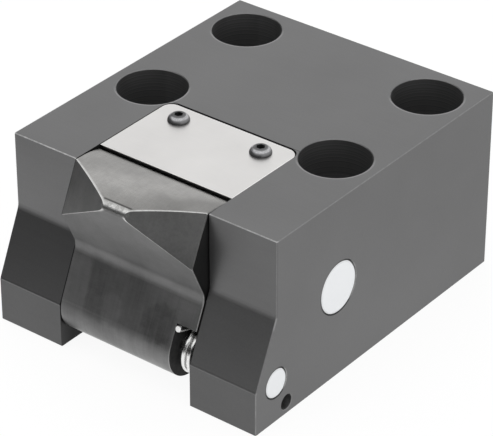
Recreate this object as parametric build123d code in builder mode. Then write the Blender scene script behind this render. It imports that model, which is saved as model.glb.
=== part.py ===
from build123d import *
from math import acos, asin, atan2, cos, degrees, hypot, radians, sin, sqrt, tan
import os

# Pull-down clamp: a steel block with a slot at the front, a jaw that swings in the slot about
# a cross pin, and a screw at the rear that pushes the jaw forwards and down through a lever.
# Sizes are in millimetres. X runs across the clamp, Y from the jaw to the rear face, Z up from
# the base. The origin is on the base, in the middle of the four mounting holes.

os.makedirs("parts", exist_ok=True)

# Block: its recessed front face, the slope down to the foot, and its edges
block_width = 80.0
block_height = 50.0
block_length = 88.0
foot_reach = 7.8
foot_height = 12.0
knee_height = 29.4
knee_radius = 4.0
block_edge = 0.2
cross_hole_edge = 0.2

# Mounting holes for M10 cap screws
hole_spacing_x = 56.5
hole_spacing_y = 38.0
hole_rear_margin = 12.0
hole_dia = 11.0
counterbore_dia = 18.0
counterbore_depth = 13.0
counterbore_edge = 0.2

# Jaw: its outline is seen from the side, round its pin
jaw_width = 40.0
jaw_side_clearance = 0.25
jaw_foot_radius = 8.0
jaw_top_stand = 0.1
jaw_valley_height = 27.3
jaw_valley_radius = 4.5
jaw_overhang_angle = 24.5
jaw_nose_radius = 2.0
jaw_edge = 0.2

# Facets that leave a short ridge in the middle of the jaw's nose, measured from the front face
# and the top of the block
ridge_half_width = 3.65
ridge_reach = 9.4
ridge_drop = 0.8
facet_top_reach = 0.3
facet_top_rise = 0.2
facet_front_reach = 6.1
facet_front_drop = 12.5

# Step in the jaw's right end, which makes room for the return spring
step_width = 5.8
step_height = 19.7

# Jaw pin, and the plastic caps that close the cross holes
jaw_pin_dia = 8.0
jaw_pin_height = 11.0
cap_face = 1.2
cap_skirt = 1.8
cap_wall = 0.9
cap_clearance = 0.08
cap_edge = 0.25
pin_end_gap = 0.2
pin_edge = 0.4

# Fits
running_clearance = 0.05
seat_clearance = 0.01
contact_gap = 0.05

# Return spring, wound round the jaw pin, and the pin that holds its fixed leg
spring_wire = 1.6
spring_radius = 5.5
spring_turn_gap = 0.04
spring_side_gap = 0.06
spring_leg_overhang = 1.0
spring_bend_radius = 2.0
spring_leg_drop = 9.3
spring_pin_dia = 4.0
spring_pin_setback = 4.1
spring_pin_height = 3.3
spring_pin_stand = 2.4
spring_pin_seat = 11.0

# Thrust lever behind the jaw, on its own pin, with a hardened pin in its nose
lever_width = 30.0
lever_pin_dia = 14.0
lever_pin_setback = 24.1
lever_pin_drop = 14.7
lever_hub_radius = 10.0
lever_arm_back = 23.0
lever_arm_rise = 4.0
lever_arm_foot = 5.7
lever_corner = 2.4
lever_front_gap = 1.6
nose_pin_dia = 8.0
nose_pin_drop = 4.0
lever_pad_radius = 4.0
lever_pad_stand = 0.9
spacer_wall = 1.2
spacer_end_gap = 0.1

# Room round the lever inside the block
hub_room = 1.2
pocket_corner = 3.0
ledge_setback = 24.3

# Screw, ball and thrust pin on one line above the lever's pin
screw_drop = 10.0
screw_dia = 12.0
screw_length = 22.0
screw_travel = 3.2
screw_edge = 1.0
socket_width = 6.0
socket_depth = 8.0
ball_dia = 8.0
centre_radius = 3.0
centre_half_angle = 60.0
thrust_pin_dia = 8.0
thrust_pin_length = 32.0
thrust_cup_depth = 1.5
mouth_dia = 13.0
mouth_edge = 0.6
ring_groove_dia = 13.6
ring_thickness = 1.0
ring_section = 1.4
ring_gap = 3.0
ring_lug_radius = 1.25
ring_lug_hole = 0.6

# Cover plate and its two M3 button-head screws
cover_thickness = 1.5
cover_setback = 8.7
cover_length = 26.1
cover_clearance = 0.15
cover_rear_gap = 0.45
cover_corner = 2.85
cover_edge = 0.15
cover_hole_dia = 3.4
cover_screw_spacing = 25.2
cover_screw_setback = 29.2
button_dia = 5.6
button_height = 1.65
button_rim = 0.3
button_flat = 1.45
button_crown = 1.95
button_socket = 2.0
button_socket_depth = 1.0
m3_dia = 3.0
m3_length = 8.0
m3_hole_depth = 9.0

# Places that follow from the sizes above
rear_y = hole_spacing_y / 2 + hole_rear_margin
front_y = rear_y - block_length
slot_width = jaw_width + 2 * jaw_side_clearance
slot_half = slot_width / 2
cheek_width = (block_width - slot_width) / 2
jaw_pivot = (front_y, jaw_pin_height)
jaw_top_radius = block_height + jaw_top_stand - jaw_pin_height
screw_height = block_height - screw_drop
lever_pin_height = screw_height - lever_pin_drop
lever_pivot = (front_y + lever_pin_setback, lever_pin_height)
jaw_back_y = front_y + jaw_foot_radius
pocket_rear_y = lever_pivot[0] + lever_hub_radius + hub_room
pocket_height = lever_pin_height + lever_hub_radius + hub_room
ledge_y = front_y + ledge_setback
slope_angle = degrees(atan2(foot_reach, knee_height - foot_height))

# Stations on the screw's line: each piece starts where the one ahead of it ends
lever_pad_y = front_y + lever_arm_back + lever_pad_stand
thrust_front_y = lever_pad_y + contact_gap
thrust_rear_y = thrust_front_y + thrust_pin_length
ball_y = thrust_rear_y - thrust_cup_depth + ball_dia / 2
cone_angle = radians(centre_half_angle)
cone_tip_y = ball_y + (ball_dia / 2 + contact_gap) / sin(cone_angle)
screw_front_y = cone_tip_y - centre_radius / tan(cone_angle)
screw_rear_y = screw_front_y + screw_length
thread_front_y = screw_front_y - screw_travel
ring_front_y = screw_rear_y + contact_gap
ring_rear_y = ring_front_y + ring_thickness


def polar(centre, radius, angle):
    """Point at a radius and an angle in degrees round a centre, in the side view."""
    return (centre[0] + radius * cos(radians(angle)), centre[1] + radius * sin(radians(angle)))


def arc(centre, radius, start, end):
    """Arc round a centre between two angles in degrees."""
    middle = (start + end) / 2
    return ThreePointArc(*(polar(centre, radius, angle) for angle in (start, middle, end)))


def tangent_point(outside, centre, radius, side):
    """Point where a line from outside touches a circle; side is 1 or -1."""
    reach_y, reach_z = centre[0] - outside[0], centre[1] - outside[1]
    distance = hypot(reach_y, reach_z)
    angle = degrees(atan2(-reach_z, -reach_y) + side * acos(radius / distance))
    return polar(centre, radius, angle)


# Block
foot_y = front_y - foot_reach
with BuildPart() as clamp_body:
    with BuildSketch(Plane.YZ) as block_side:
        with BuildLine():
            Polyline(
                (foot_y, 0),
                (foot_y, foot_height),
                (front_y, knee_height),
                (front_y, block_height),
                (rear_y, block_height),
                (rear_y, 0),
                close=True,
            )
        make_face()
        chamfer(
            block_side.vertices().sort_by_distance((front_y, knee_height))[1:], block_edge)
        fillet(block_side.vertices().sort_by_distance((front_y, knee_height))[0], knee_radius)
    extrude(amount=block_width / 2, both=True)
    chamfer(clamp_body.faces().filter_by(Axis.X).edges(), block_edge)

    # Slot for the jaw, open to the front, the top and the base
    with BuildSketch(Plane.XY):
        with Locations((0, ledge_y)):
            Rectangle(slot_width, ledge_y - foot_y, align=(Align.CENTER, Align.MAX))
    extrude(amount=block_height, mode=Mode.SUBTRACT)

    # Pocket for the lever, milled from the base under a ledge
    with BuildSketch(Plane.XY) as pocket_plan:
        with Locations((0, pocket_rear_y)):
            Rectangle(slot_width, pocket_rear_y - front_y, align=(Align.CENTER, Align.MAX))
        fillet(pocket_plan.vertices().group_by(Axis.Y)[-1], pocket_corner)
    extrude(amount=pocket_height, mode=Mode.SUBTRACT)

    # Seat of the cover plate on the ledge
    cover_rear_y = front_y + cover_setback + cover_length
    with BuildSketch(Plane.XY.offset(block_height)) as cover_seat:
        with Locations((0, cover_rear_y + cover_rear_gap)):
            Rectangle(slot_width, cover_length, align=(Align.CENTER, Align.MAX))
        fillet(cover_seat.vertices().group_by(Axis.Y)[-1], cover_corner + cover_clearance)
    extrude(amount=-cover_thickness, mode=Mode.SUBTRACT)

    # Mounting holes
    with Locations((0, 0, block_height)):
        with GridLocations(hole_spacing_x, hole_spacing_y, 2, 2):
            CounterBoreHole(hole_dia / 2, counterbore_dia / 2, counterbore_depth)
    rims = clamp_body.edges().filter_by(GeomType.CIRCLE).filter_by(
        lambda edge: abs(edge.radius - counterbore_dia / 2) < 0.01)
    chamfer(rims.group_by(Axis.Z)[-1], counterbore_edge)

    # Cross holes for the jaw pin and the lever pin, right through both cheeks
    with BuildSketch(Plane.YZ):
        with Locations(jaw_pivot):
            Circle(jaw_pin_dia / 2 + seat_clearance)
        with Locations(lever_pivot):
            Circle(lever_pin_dia / 2 + seat_clearance)
    extrude(amount=block_width / 2, both=True, mode=Mode.SUBTRACT)

    # Hole for the spring's pin, in the right cheek alone
    spring_pin_place = (front_y + spring_pin_setback, spring_pin_height)
    with BuildSketch(Plane.YZ.offset(slot_half)):
        with Locations(spring_pin_place):
            Circle(spring_pin_dia / 2 + seat_clearance)
    extrude(amount=cheek_width, mode=Mode.SUBTRACT)
    for end in (clamp_body.faces().sort_by(Axis.X)[0], clamp_body.faces().sort_by(Axis.X)[-1]):
        chamfer(end.edges().filter_by(GeomType.CIRCLE), cross_hole_edge)

    # Tapped holes for the cover's screws
    cover_screw_y = front_y + cover_screw_setback
    seat_height = block_height - cover_thickness
    with Locations((0, cover_screw_y, seat_height)):
        with GridLocations(cover_screw_spacing, 1, 2, 1):
            Hole(m3_dia / 2 + seat_clearance, depth=m3_hole_depth)

    # Rear bore: the thrust pin's guide, the thread drawn plain, the mouth and the ring's groove
    for radius, start_y, end_y in (
        (thrust_pin_dia / 2 + running_clearance, ledge_y, rear_y),
        (screw_dia / 2 + running_clearance, thread_front_y, rear_y),
        (mouth_dia / 2, screw_rear_y, rear_y),
        (ring_groove_dia / 2, ring_front_y - seat_clearance, ring_rear_y + seat_clearance),
    ):
        with BuildSketch(Plane.XZ.offset(-end_y)):
            with Locations((0, screw_height)):
                Circle(radius)
        extrude(amount=end_y - start_y, mode=Mode.SUBTRACT)
    mouth = clamp_body.edges().filter_by(GeomType.CIRCLE).sort_by(Axis.Y)[-1]
    chamfer(mouth, mouth_edge)
clamp_body.part.label = "clamp_body"
export_step(clamp_body.part, "parts/clamp_body.step")

# Jaw outline: foot round the pin, slope, valley, overhanging face, nose and curved top
slope_foot = polar(jaw_pivot, jaw_foot_radius, 180 - slope_angle)
slope_lean = tan(radians(slope_angle))
valley = (slope_foot[0] + (jaw_valley_height - slope_foot[1]) * slope_lean, jaw_valley_height)
face_y, face_z = -sin(radians(jaw_overhang_angle)), cos(radians(jaw_overhang_angle))
inset_y = valley[0] + jaw_nose_radius * face_z - jaw_pivot[0]
inset_z = valley[1] - jaw_nose_radius * face_y - jaw_pivot[1]
nose_reach = jaw_top_radius - jaw_nose_radius
along = inset_y * face_y + inset_z * face_z
face_length = sqrt(along ** 2 + nose_reach ** 2 - inset_y ** 2 - inset_z ** 2) - along
face_end = (valley[0] + face_length * face_y, valley[1] + face_length * face_z)
nose = (face_end[0] + jaw_nose_radius * face_z, face_end[1] - jaw_nose_radius * face_y)
nose_angle = degrees(atan2(nose[1] - jaw_pivot[1], nose[0] - jaw_pivot[0]))
shoulder_angle = degrees(acos(jaw_foot_radius / jaw_top_radius))
shoulder = polar(jaw_pivot, jaw_top_radius, shoulder_angle)

# Jaw
step_x = jaw_width / 2 - step_width
with BuildPart() as clamping_jaw:
    with BuildSketch(Plane.YZ) as jaw_side:
        with BuildLine():
            arc(jaw_pivot, jaw_foot_radius, 180 - slope_angle, 360)
            Line(polar(jaw_pivot, jaw_foot_radius, 360), shoulder)
            arc(jaw_pivot, jaw_top_radius, shoulder_angle, nose_angle)
            arc(nose, jaw_nose_radius, nose_angle, 180 + jaw_overhang_angle)
            Line(face_end, valley)
            Line(valley, slope_foot)
        make_face()
        fillet(jaw_side.vertices().sort_by_distance(valley)[0], jaw_valley_radius)
        chamfer(jaw_side.vertices().sort_by_distance(shoulder)[0], jaw_edge)
    extrude(amount=jaw_width / 2, both=True)
    chamfer(clamping_jaw.faces().filter_by(Axis.X).edges(), jaw_edge)

    # Facets at the sides of the nose, each through three points
    ridge_end = Vector(ridge_half_width, front_y - ridge_reach, block_height - ridge_drop)
    facet_top = Vector(jaw_width / 2, front_y - facet_top_reach, block_height + facet_top_rise)
    facet_front = Vector(
        jaw_width / 2, front_y - facet_front_reach, block_height - facet_front_drop)
    inward = (facet_top - ridge_end).cross(facet_front - ridge_end)
    for side in (1, -1):
        split(bisect_by=Plane(
            origin=(side * ridge_end.X, ridge_end.Y, ridge_end.Z),
            z_dir=(side * inward.X, inward.Y, inward.Z),
        ))

    # Step for the spring in the right end, and the bore for the pin
    with BuildSketch(Plane.YZ.offset(step_x)):
        with Locations((front_y, 0)):
            Rectangle(3 * jaw_foot_radius, step_height, align=(Align.CENTER, Align.MIN))
    extrude(amount=step_width, mode=Mode.SUBTRACT)
    with BuildSketch(Plane.YZ):
        with Locations(jaw_pivot):
            Circle(jaw_pin_dia / 2 + running_clearance)
    extrude(amount=jaw_width / 2, both=True, mode=Mode.SUBTRACT)
clamping_jaw.part.label = "clamping_jaw"
export_step(clamping_jaw.part, "parts/clamping_jaw.step")

# Thrust lever: a round hub, an arm up to the screw's line, a crowned pad and a groove
pad_centre = (lever_pad_y - lever_pad_radius, screw_height)
nose_pin_place = (jaw_back_y + contact_gap + nose_pin_dia / 2, screw_height - nose_pin_drop)
lever_front_y = jaw_back_y + lever_front_gap
arm_foot = (lever_front_y, lever_pin_height + lever_arm_foot)
lever_arm_top = screw_height + lever_arm_rise
arm_back_y = front_y + lever_arm_back
with BuildPart() as thrust_lever:
    with BuildSketch(Plane.YZ) as lever_side:
        with BuildLine():
            Polyline(
                arm_foot,
                (lever_front_y, lever_arm_top),
                (arm_back_y, lever_arm_top),
                (arm_back_y, lever_pin_height),
                tangent_point(arm_foot, lever_pivot, lever_hub_radius, 1),
                close=True,
            )
        make_face()
        fillet(lever_side.vertices().group_by(Axis.Z)[-1], lever_corner)
        with Locations(lever_pivot):
            Circle(lever_hub_radius)
        with Locations(pad_centre):
            Circle(lever_pad_radius)
        with Locations(nose_pin_place):
            Circle(nose_pin_dia / 2 + seat_clearance, mode=Mode.SUBTRACT)
        with Locations(lever_pivot):
            Circle(lever_pin_dia / 2 + running_clearance, mode=Mode.SUBTRACT)
    extrude(amount=lever_width / 2, both=True)
thrust_lever.part.label = "thrust_lever"
export_step(thrust_lever.part, "parts/thrust_lever.step")

# Return spring: a straight leg under the jaw's step, close turns, and a leg bent behind its pin
pitch = spring_wire + spring_turn_gap
fixed_x = slot_half - spring_side_gap - spring_wire / 2
step_edge = (slope_foot[0] + (step_height - slope_foot[1]) * slope_lean, step_height)
edge_y, edge_z = step_edge[0] - jaw_pivot[0], step_edge[1] - jaw_pivot[1]
edge_reach = hypot(edge_y, edge_z)
leg_radius = spring_radius + spring_wire / 2 + contact_gap
moving_angle = degrees(atan2(edge_z, edge_y) - acos(leg_radius / edge_reach))
moving_leg = sqrt(edge_reach ** 2 - leg_radius ** 2) + spring_leg_overhang
pin_y, pin_z = spring_pin_setback, spring_pin_height - jaw_pin_height
pin_gap = (spring_pin_dia + spring_wire) / 2 + contact_gap
fixed_angle = degrees(atan2(pin_z, pin_y) - asin(pin_gap / hypot(pin_y, pin_z)))
bend_reach = spring_radius + spring_bend_radius
start_angle = fixed_angle + degrees(asin(spring_bend_radius / bend_reach))
bend_foot = sqrt(bend_reach ** 2 - spring_bend_radius ** 2)
turns = 2 + (moving_angle - start_angle) / 360
coil_plane = Plane(
    origin=(fixed_x, *jaw_pivot),
    x_dir=(0, cos(radians(start_angle)), sin(radians(start_angle))),
    z_dir=(-1, 0, 0),
)
coil = coil_plane.location * Edge.make_helix(pitch, turns * pitch, spring_radius, lefthand=True)
with BuildLine() as spring_line:
    add(coil)
    Line(coil @ 1, (coil @ 1) + (coil % 1) * moving_leg)
    bend = TangentArc(
        coil @ 0, (fixed_x, *polar(jaw_pivot, bend_foot, fixed_angle)), tangent=(coil % 0) * -1)
    Line(bend @ 1, (bend @ 1) + (bend % 1) * (spring_leg_drop - bend_foot))
spring_start = (coil @ 1) + (coil % 1) * moving_leg
with BuildPart() as return_spring:
    with BuildSketch(Plane(origin=spring_start, z_dir=(coil % 1) * -1)):
        Circle(spring_wire / 2)
    sweep(path=spring_line.wires()[0])
return_spring.part.label = "return_spring"
export_step(return_spring.part, "parts/return_spring.step")

# Cross pins, and the hardened pin in the lever's nose
pin_end = block_width / 2 - cap_face - cap_skirt - pin_end_gap
for label, place, diameter, start_x, end_x in (
    ("jaw_pin", jaw_pivot, jaw_pin_dia, -pin_end, pin_end),
    ("lever_pin", lever_pivot, lever_pin_dia, -pin_end, pin_end),
    ("lever_nose_pin", nose_pin_place, nose_pin_dia, -lever_width / 2, lever_width / 2),
    ("spring_pin", spring_pin_place, spring_pin_dia,
     slot_half - spring_pin_stand, slot_half + spring_pin_seat),
):
    with BuildPart() as cross_pin:
        with BuildSketch(Plane.YZ.offset(start_x)):
            with Locations(place):
                Circle(diameter / 2)
        extrude(amount=end_x - start_x)
        chamfer(cross_pin.edges().filter_by(GeomType.CIRCLE), pin_edge)
    cross_pin.part.label = label
    export_step(cross_pin.part, f"parts/{label}.step")

# Sleeves that keep the lever in the middle of the slot
sleeve_start = lever_width / 2 + spacer_end_gap
sleeve_end = slot_half - seat_clearance
for label, start_x in (
    ("lever_spacer_left", -sleeve_end),
    ("lever_spacer_right", sleeve_start),
):
    with BuildPart() as lever_spacer:
        with BuildSketch(Plane.YZ.offset(start_x)):
            with Locations(lever_pivot):
                Circle(lever_pin_dia / 2 + spacer_wall)
                Circle(lever_pin_dia / 2 + seat_clearance, mode=Mode.SUBTRACT)
        extrude(amount=sleeve_end - sleeve_start)
    lever_spacer.part.label = label
    export_step(lever_spacer.part, f"parts/{label}.step")

# Moulded caps: a closed face flush with the cheek, and a skirt behind it
for pin_name, place, diameter in (
    ("jaw_pin", jaw_pivot, jaw_pin_dia),
    ("lever_pin", lever_pivot, lever_pin_dia),
):
    cap_radius = diameter / 2 - cap_clearance
    for side_name, side in (("left", -1), ("right", 1)):
        with BuildPart() as pin_cap:
            with BuildSketch(Plane.YZ.offset(side * (block_width / 2 - cap_face))):
                with Locations(place):
                    Circle(cap_radius)
            extrude(amount=side * cap_face)
            outer_rim = pin_cap.edges().filter_by(GeomType.CIRCLE).sort_by(Axis.X)[::side][-1]
            chamfer(outer_rim, cap_edge)
            with BuildSketch(Plane.YZ.offset(side * (block_width / 2 - cap_face))):
                with Locations(place):
                    Circle(cap_radius)
                    Circle(cap_radius - cap_wall, mode=Mode.SUBTRACT)
            extrude(amount=-side * cap_skirt)
        pin_cap.part.label = f"{pin_name}_cap_{side_name}"
        export_step(pin_cap.part, f"parts/{pin_name}_cap_{side_name}.step")

# Thrust pin, with a cup for the ball in its rear end
with BuildPart() as thrust_pin:
    with BuildSketch(Plane.XZ.offset(-thrust_rear_y)):
        with Locations((0, screw_height)):
            Circle(thrust_pin_dia / 2)
    extrude(amount=thrust_pin_length)
    chamfer(thrust_pin.edges().filter_by(GeomType.CIRCLE), pin_edge)
    with Locations((0, ball_y, screw_height)):
        Sphere(ball_dia / 2 + seat_clearance, mode=Mode.SUBTRACT)
thrust_pin.part.label = "thrust_pin"
export_step(thrust_pin.part, "parts/thrust_pin.step")

with BuildPart() as thrust_ball:
    with Locations((0, ball_y, screw_height)):
        Sphere(ball_dia / 2)
thrust_ball.part.label = "thrust_ball"
export_step(thrust_ball.part, "parts/thrust_ball.step")

# Clamping screw: a plain bar for the thread, a conical centre and a hexagon socket
with BuildPart() as clamping_screw:
    with BuildSketch(Plane.XZ.offset(-screw_rear_y)):
        with Locations((0, screw_height)):
            Circle(screw_dia / 2)
    extrude(amount=screw_length)
    chamfer(clamping_screw.edges().filter_by(GeomType.CIRCLE), screw_edge)
    with BuildSketch(Plane.YZ):
        with BuildLine():
            Polyline(
                (screw_front_y, screw_height),
                (screw_front_y, screw_height + centre_radius),
                (cone_tip_y, screw_height),
                close=True,
            )
        make_face()
    revolve(axis=Axis((0, 0, screw_height), (0, 1, 0)), mode=Mode.SUBTRACT)
    with BuildSketch(Plane.XZ.offset(-screw_rear_y)):
        with Locations((0, screw_height)):
            RegularPolygon(socket_width / 2, 6, major_radius=False)
    extrude(amount=socket_depth, mode=Mode.SUBTRACT)
clamping_screw.part.label = "clamping_screw"
export_step(clamping_screw.part, "parts/clamping_screw.step")

# Retaining ring behind the screw, with a gap and two eyed lugs
ring_radius = ring_groove_dia / 2 - seat_clearance
ring_bore = ring_radius - ring_section
with BuildPart() as retaining_ring:
    with BuildSketch(Plane.XZ.offset(-ring_rear_y)):
        with Locations((0, screw_height)):
            Circle(ring_radius)
            Circle(ring_bore, mode=Mode.SUBTRACT)
            Rectangle(
                ring_gap, ring_radius, align=(Align.CENTER, Align.MIN), mode=Mode.SUBTRACT)
        lug_x = ring_gap / 2 + ring_lug_radius
        lug_z = sqrt(ring_bore ** 2 - lug_x ** 2)
        with Locations((-lug_x, screw_height + lug_z), (lug_x, screw_height + lug_z)):
            Circle(ring_lug_radius)
            Circle(ring_lug_hole, mode=Mode.SUBTRACT)
    extrude(amount=ring_thickness)
retaining_ring.part.label = "retaining_ring"
export_step(retaining_ring.part, "parts/retaining_ring.step")

# Cover plate over the lever
with BuildPart() as cover_plate:
    with BuildSketch(Plane.XY.offset(seat_height)) as cover_plan:
        with Locations((0, cover_rear_y)):
            Rectangle(
                slot_width - 2 * cover_clearance, cover_length,
                align=(Align.CENTER, Align.MAX))
        fillet(cover_plan.vertices().group_by(Axis.Y)[-1], cover_corner)
        with Locations((0, cover_screw_y)):
            with GridLocations(cover_screw_spacing, 1, 2, 1):
                Circle(cover_hole_dia / 2, mode=Mode.SUBTRACT)
    extrude(amount=cover_thickness)
    top = cover_plate.faces().sort_by(Axis.Z)[-1]
    chamfer(top.outer_wire().edges(), cover_edge)
cover_plate.part.label = "cover_plate"
export_step(cover_plate.part, "parts/cover_plate.step")

# Button-head screws in the cover
for side_name, side in (("left", -1), ("right", 1)):
    screw_x = side * cover_screw_spacing / 2
    with BuildPart() as cover_screw:
        with BuildSketch(Plane(
            origin=(screw_x, cover_screw_y, block_height), x_dir=(1, 0, 0), z_dir=(0, -1, 0),
        )):
            with BuildLine():
                Polyline(
                    (button_flat, button_height),
                    (0, button_height),
                    (0, -m3_length),
                    (m3_dia / 2, -m3_length),
                    (m3_dia / 2, 0),
                    (button_dia / 2, 0),
                    (button_dia / 2, button_rim),
                )
                RadiusArc(
                    (button_dia / 2, button_rim), (button_flat, button_height), -button_crown)
            make_face()
        revolve(axis=Axis((screw_x, cover_screw_y, 0), (0, 0, 1)))
        with BuildSketch(Plane.XY.offset(block_height + button_height)):
            with Locations((screw_x, cover_screw_y)):
                RegularPolygon(button_socket / 2, 6, major_radius=False)
        extrude(amount=-button_socket_depth, mode=Mode.SUBTRACT)
    cover_screw.part.label = f"cover_screw_{side_name}"
    export_step(cover_screw.part, f"parts/cover_screw_{side_name}.step")
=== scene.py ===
from math import atan2, cos, radians, sin, sqrt, tau
from types import SimpleNamespace

import bpy
import numpy as np
from bpy.props import FloatProperty, FloatVectorProperty, IntProperty, PointerProperty
from bpy.types import Operator, Panel, PropertyGroup
from mathutils import Matrix, Vector


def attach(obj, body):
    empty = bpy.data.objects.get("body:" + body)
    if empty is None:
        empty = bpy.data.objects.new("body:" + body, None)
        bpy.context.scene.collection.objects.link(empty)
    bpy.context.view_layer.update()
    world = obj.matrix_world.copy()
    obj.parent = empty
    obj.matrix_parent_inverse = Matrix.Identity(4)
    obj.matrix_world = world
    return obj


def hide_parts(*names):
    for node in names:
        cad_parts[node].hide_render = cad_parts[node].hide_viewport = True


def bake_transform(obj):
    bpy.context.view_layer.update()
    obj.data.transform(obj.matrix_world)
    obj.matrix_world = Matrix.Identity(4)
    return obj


bl_info = {
    "name": "Pull-down clamp",
    "version": (1, 0, 0),
    "blender": (4, 5, 0),
    "location": "3D View > Sidebar > Clamp",
    "description": "Dresses the clamp: finishes, the wound spring, the threaded screw, the studio",
    "category": "Add Mesh",
}

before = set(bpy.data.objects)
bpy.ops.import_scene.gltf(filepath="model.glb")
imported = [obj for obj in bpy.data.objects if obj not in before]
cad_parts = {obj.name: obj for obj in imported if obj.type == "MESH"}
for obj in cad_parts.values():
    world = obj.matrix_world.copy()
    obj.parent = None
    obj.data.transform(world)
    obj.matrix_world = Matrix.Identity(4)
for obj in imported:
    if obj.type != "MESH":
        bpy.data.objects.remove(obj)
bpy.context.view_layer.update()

MM = 0.001

# Places on the frame, in millimetres: X across, Y from the jaw to the rear, Z up. BORE is the
# (X, Y) of one counterbore, which the other three mirror. A pin across the clamp is given by its
# (Y, Z), and the screw's line by its (X, Z). The gap beside the jaw shows up to GAP_TOP
FRONT = -57.0
TOP = 50.0
HALF_WIDTH = 40.0
FOOT_HEIGHT = 12.0
GAP_TOP = 26.0
SLOT_HALF = 20.25
SEAT_REAR = -21.75
BORE = (28.25, 19.0)
BORE_RADIUS = 9.0
JAW_PIVOT = (-57.0, 11.0)
LEVER_PIVOT = (-32.9, 25.3)
JAW_PIN_RADIUS = 4.0
LEVER_PIN_RADIUS = 7.0
CAP_CLEARANCE = 0.08
SPACER_RADIUS = 8.2
NOSE_PIN = (-44.95, 36.0)
NOSE_PIN_RADIUS = 4.0
SPRING_PIN = (-52.9, 3.3)
SPRING_PIN_RADIUS = 2.0
THRUST_PIN_RADIUS = 4.0
SCREW_LINE = (0.0, 40.0)
SCREW_RADIUS = 6.0
SCREW_BORE_FRONT = 20.0
SCREW_BORE_RADIUS = 6.5
COVER_SCREW_X = 12.6
COVER_SCREW_Y = -27.8

# The jaw: the step for the spring in its right end, and its right facet, a plane through the end
# of the ridge. The left facet mirrors it. Seen from above, EDGE_ACROSS is square to its upper edge
JAW_HALF = 20.0
STEP_X = 14.2
STEP_HEIGHT = 19.7
RIDGE_END = Vector((3.65, -66.4, 49.2))
FACET_NORMAL = Vector((0.4336, -0.8201, 0.3735)).normalized()
EDGE_ACROSS = (-0.498, 0.867)


# Surfaces

def skin(name, rings, first_pole, last_pole, marks=None, crease=40.0):
    """A closed skin over rings of points: quads join each ring to the next, and a fan of triangles
    closes each end on its pole. marks gives each ring point its (u, v) place on the map."""
    count, sides = rings.shape[:2]
    points = np.concatenate((rings.reshape(-1, 3), [first_pole, last_pole])) * MM
    here = np.arange((count - 1) * sides).reshape(count - 1, sides)
    beside = np.roll(here, -1, axis=1)
    quads = np.stack((here, beside, beside + sides, here + sides), axis=-1).reshape(-1, 4)
    first = np.arange(sides)
    last = first + (count - 1) * sides
    start_fan = np.stack((np.full(sides, count * sides), np.roll(first, -1), first), axis=-1)
    end_fan = np.stack((np.full(sides, count * sides + 1), last, np.roll(last, -1)), axis=-1)
    corners = np.concatenate((quads.ravel(), start_fan.ravel(), end_fan.ravel())).astype(np.int32)
    starts = np.concatenate((
        np.arange(len(quads)) * 4, len(quads) * 4 + np.arange(2 * sides) * 3)).astype(np.int32)
    mesh = bpy.data.meshes.new(name)
    mesh.vertices.add(len(points))
    mesh.vertices.foreach_set("co", points.astype(np.float32).ravel())
    mesh.loops.add(len(corners))
    mesh.loops.foreach_set("vertex_index", corners)
    mesh.polygons.add(len(starts))
    mesh.polygons.foreach_set("loop_start", starts)
    if marks is not None:
        ends = np.array([marks[0].mean(axis=0), marks[-1].mean(axis=0)])
        flat = np.concatenate((marks.reshape(-1, 2), ends))
        layer = mesh.uv_layers.new(name="wire")
        layer.uv.foreach_set("vector", flat[corners].astype(np.float32).ravel())
    mesh.update(calc_edges=True)
    mesh.validate()
    mesh.shade_smooth()
    mesh.set_sharp_from_angle(angle=radians(crease))
    piece = bpy.data.objects.new(name, mesh)
    bpy.context.scene.collection.objects.link(piece)
    return piece


def side_view(angle, radius):
    """Direction (0, cos, sin) of an angle about the jaw's pin, times a radius."""
    return np.stack((np.zeros_like(angle), radius * np.cos(angle), radius * np.sin(angle)), axis=-1)


def leg_direction(shape):
    """Direction of the spring's moving leg, which is the tangent where the last turn ends."""
    end = shape.start_angle + shape.turns * tau
    return (0.0, -sin(end), cos(end))


def spring_line(shape):
    """The wire's centre line, as points: a straight leg along a radius; an arc of the bend radius
    that meets the leg and the first turn on tangents; a helix whose x falls by one pitch a turn;
    and a straight leg along the last turn's tangent."""
    fixed_points, bend_points, turn_points, moving_points = 8, 17, 72, 13
    coil, bend = shape.coil_radius / MM, shape.bend_radius / MM
    start, turned = shape.start_angle, shape.turns * tau
    reach = coil + bend
    foot = sqrt(reach ** 2 - bend ** 2)
    fixed = start - atan2(bend, foot)
    centre = side_view(np.array(start), reach)
    leg = side_view(
        np.full(fixed_points, fixed), np.linspace(shape.leg_drop / MM, foot, fixed_points))
    sweep = np.linspace(fixed - tau / 4, start - tau / 2, bend_points + 1)[1:]
    corner = centre + side_view(sweep, bend)
    angle = np.linspace(start, start + turned, int(shape.turns * turn_points))[1:]
    helix = side_view(angle, coil)
    helix[:, 0] = -(angle - start) / tau * shape.pitch / MM
    along = np.linspace(0, shape.leg_length / MM, moving_points + 1)[1:, None]
    tail = helix[-1] + along * np.array(leg_direction(shape))
    line = np.concatenate((leg, corner, helix, tail))
    return line + np.array([shape.fixed_x / MM, *JAW_PIVOT])


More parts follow.
